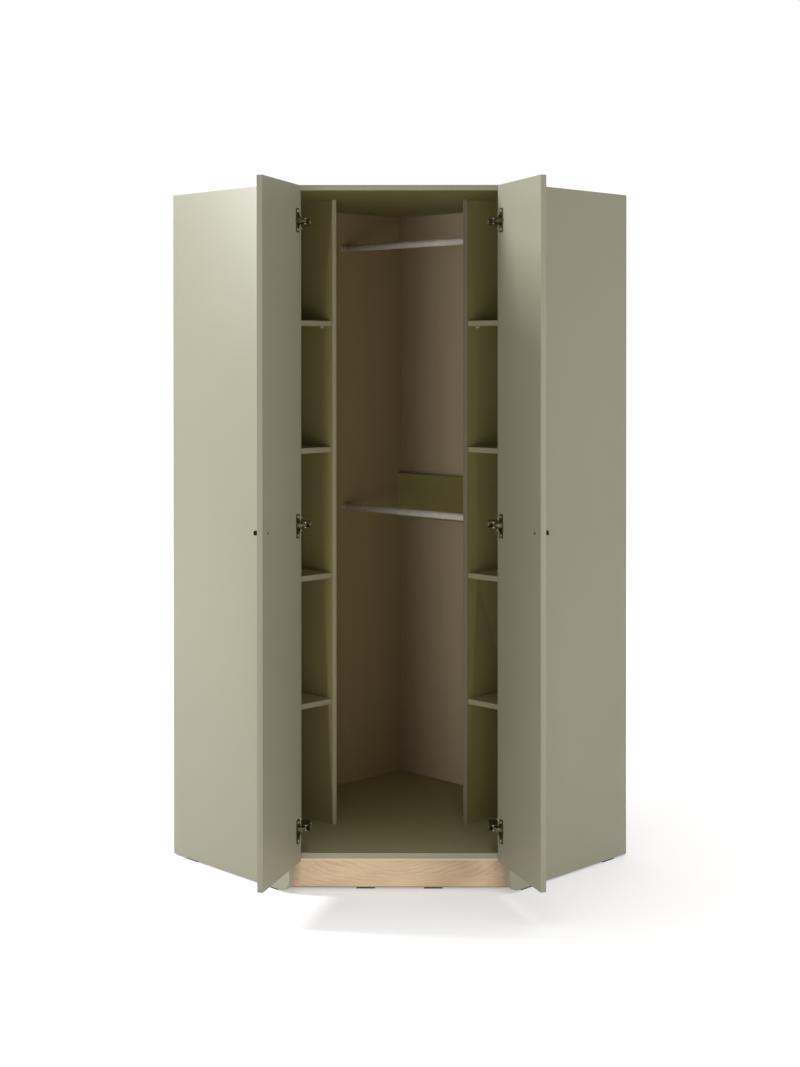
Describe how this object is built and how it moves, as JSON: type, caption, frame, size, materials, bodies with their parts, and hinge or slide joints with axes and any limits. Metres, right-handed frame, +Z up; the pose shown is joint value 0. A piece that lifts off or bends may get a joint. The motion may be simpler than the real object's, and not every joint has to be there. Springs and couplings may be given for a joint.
{
  "type": "corner wardrobe",
  "caption": "Five-sided corner wardrobe with hinged front doors, shelves down both sides and hanging rails across the corner.",
  "frame": {"origin": "on the floor, under the centre of the bounding box, with the doors open as they stand in the picture", "axes": "+Z up, -Y towards the person in front, +Y towards the room corner, +X to the right seen from the front"},
  "size_m": [1.4, 1.362, 2.04],
  "materials": {
    "sage_lacquer": "smooth satin lacquer in grey sage green on board, with matching edge banding",
    "interior_board": "smooth matt foil in olive sage green on board",
    "hardboard": "matt brown-grey hardboard with a fine fibre grain",
    "oak_veneer": "light oak veneer with cathedral grain under a matt clear lacquer",
    "rail_metal": "satin nickel-plated steel",
    "hinge_nickel": "nickel-plated steel, slightly dull",
    "dark_metal": "near-black satin metal",
    "black_plastic": "matt black glider pad"
  },
  "bodies": {
    "carcass": {"top_panel": "sage_lacquer", "bottom_panel": "interior_board", "left_side_panel": "sage_lacquer", "left_partition": "interior_board", "left_shelf_1": "interior_board", "left_shelf_2": "interior_board", "left_shelf_3": "interior_board", "left_shelf_4": "interior_board", "left_hinge_post": "sage_lacquer", "left_back_panel": "hardboard", "left_rear_bearer": "interior_board", "left_front_pad": "black_plastic", "left_rear_pad": "black_plastic", "left_plinth_pad": "black_plastic", "left_bearer_pad": "black_plastic", "left_bottom_hinge_arm": "hinge_nickel", "left_middle_hinge_arm": "hinge_nickel", "left_top_hinge_arm": "hinge_nickel", "right_side_panel": "sage_lacquer", "right_partition": "interior_board", "right_shelf_1": "interior_board", "right_shelf_2": "interior_board", "right_shelf_3": "interior_board", "right_shelf_4": "interior_board", "right_hinge_post": "sage_lacquer", "right_back_panel": "hardboard", "right_rear_bearer": "interior_board", "right_front_pad": "black_plastic", "right_rear_pad": "black_plastic", "right_plinth_pad": "black_plastic", "right_bearer_pad": "black_plastic", "right_bottom_hinge_arm": "hinge_nickel", "right_middle_hinge_arm": "hinge_nickel", "right_top_hinge_arm": "hinge_nickel", "back_corner_post": "interior_board", "rail_batten": "interior_board", "back_stretcher": "sage_lacquer", "oak_plinth": "oak_veneer", "upper_hanging_rail": "rail_metal", "lower_hanging_rail": "rail_metal", "upper_rail_socket_right": "rail_metal", "upper_rail_socket_left": "rail_metal", "lower_rail_socket_right": "rail_metal", "lower_rail_socket_left": "rail_metal"},
    "left_door": {"left_bottom_hinge_cup": "hinge_nickel", "left_middle_hinge_cup": "hinge_nickel", "left_top_hinge_cup": "hinge_nickel", "left_door": "sage_lacquer", "left_knob": "dark_metal", "left_knob_screw": "hinge_nickel"},
    "right_door": {"right_bottom_hinge_cup": "hinge_nickel", "right_middle_hinge_cup": "hinge_nickel", "right_top_hinge_cup": "hinge_nickel", "right_door": "sage_lacquer", "right_knob": "dark_metal", "right_knob_screw": "hinge_nickel"}
  },
  "joints": [
    {"name": "left_door_hinge", "type": "hinge", "parent": "carcass", "child": "left_door", "pos_m": [-0.29476, -0.39698, 1.058], "axis": [0, 0, 1], "range_deg": [-3.5, 106.5]},
    {"name": "right_door_hinge", "type": "hinge", "parent": "carcass", "child": "right_door", "pos_m": [0.29476, -0.39698, 1.058], "axis": [0, 0, -1], "range_deg": [-0.5, 109.5]}
  ]
}
